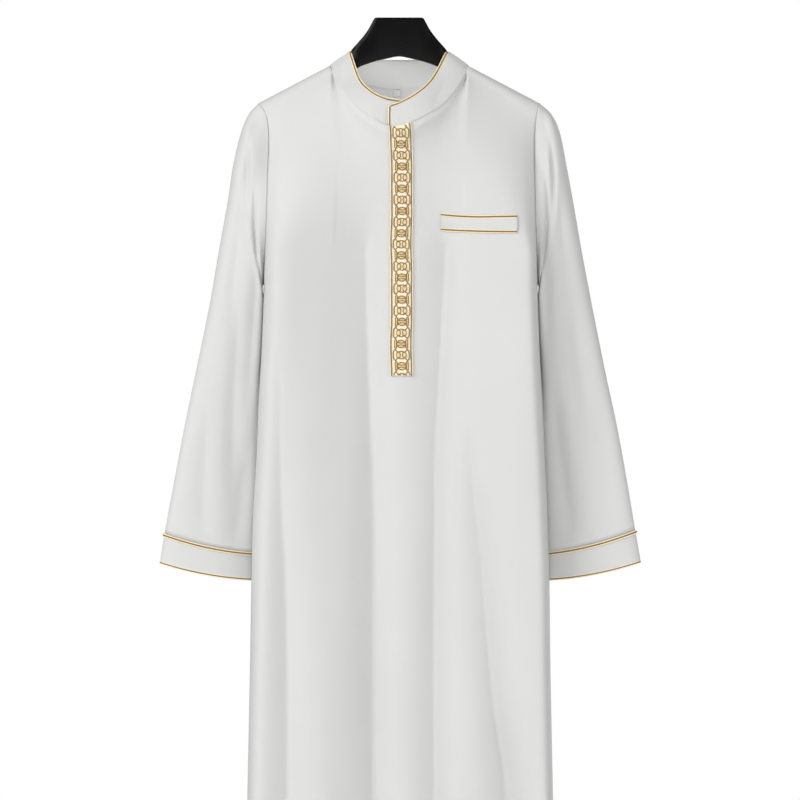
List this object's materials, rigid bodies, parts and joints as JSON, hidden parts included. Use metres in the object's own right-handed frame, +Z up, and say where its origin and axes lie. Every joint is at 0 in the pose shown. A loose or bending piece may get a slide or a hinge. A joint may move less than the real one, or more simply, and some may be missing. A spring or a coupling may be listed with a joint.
{
  "type": "thobe robe on a hanger",
  "caption": "Long white thobe with a stand collar, gold piping, an embroidered placket and a welt pocket, hung on a black moulded hanger.",
  "frame": {"origin": "middle of the flat top of the hanger, where its hook would stand", "axes": "+Z up along the hung robe, +Y from the front to the back, +X to the viewer's right, which is the wearer's left"},
  "size_m": [0.6522, 0.1301, 1.416],
  "materials": {
    "cloth_white": "soft satin weave",
    "placket_cream": "woven, under raised embroidery",
    "gold_cord": "twisted metallic thread",
    "label_white": "smooth tape",
    "hanger_black": "satin black"
  },
  "bodies": {
    "root": {"hanger": "hanger_black", "front": "cloth_white", "back": "cloth_white", "sleeve_left": "cloth_white", "sleeve_right": "cloth_white", "cuff_left": "cloth_white", "cuff_right": "cloth_white", "collar": "cloth_white", "placket": "placket_cream", "placket_cord_left": "gold_cord", "placket_cord_right": "gold_cord", "pocket_welt": "cloth_white", "pocket_piping_top": "gold_cord", "pocket_piping_bottom": "gold_cord", "collar_piping_over": "gold_cord", "collar_piping_under": "gold_cord", "cuff_piping_left": "gold_cord", "cuff_piping_right": "gold_cord", "cuff_hem_piping_left": "gold_cord", "cuff_hem_piping_right": "gold_cord", "size_label": "label_white"}
  },
  "joints": []
}
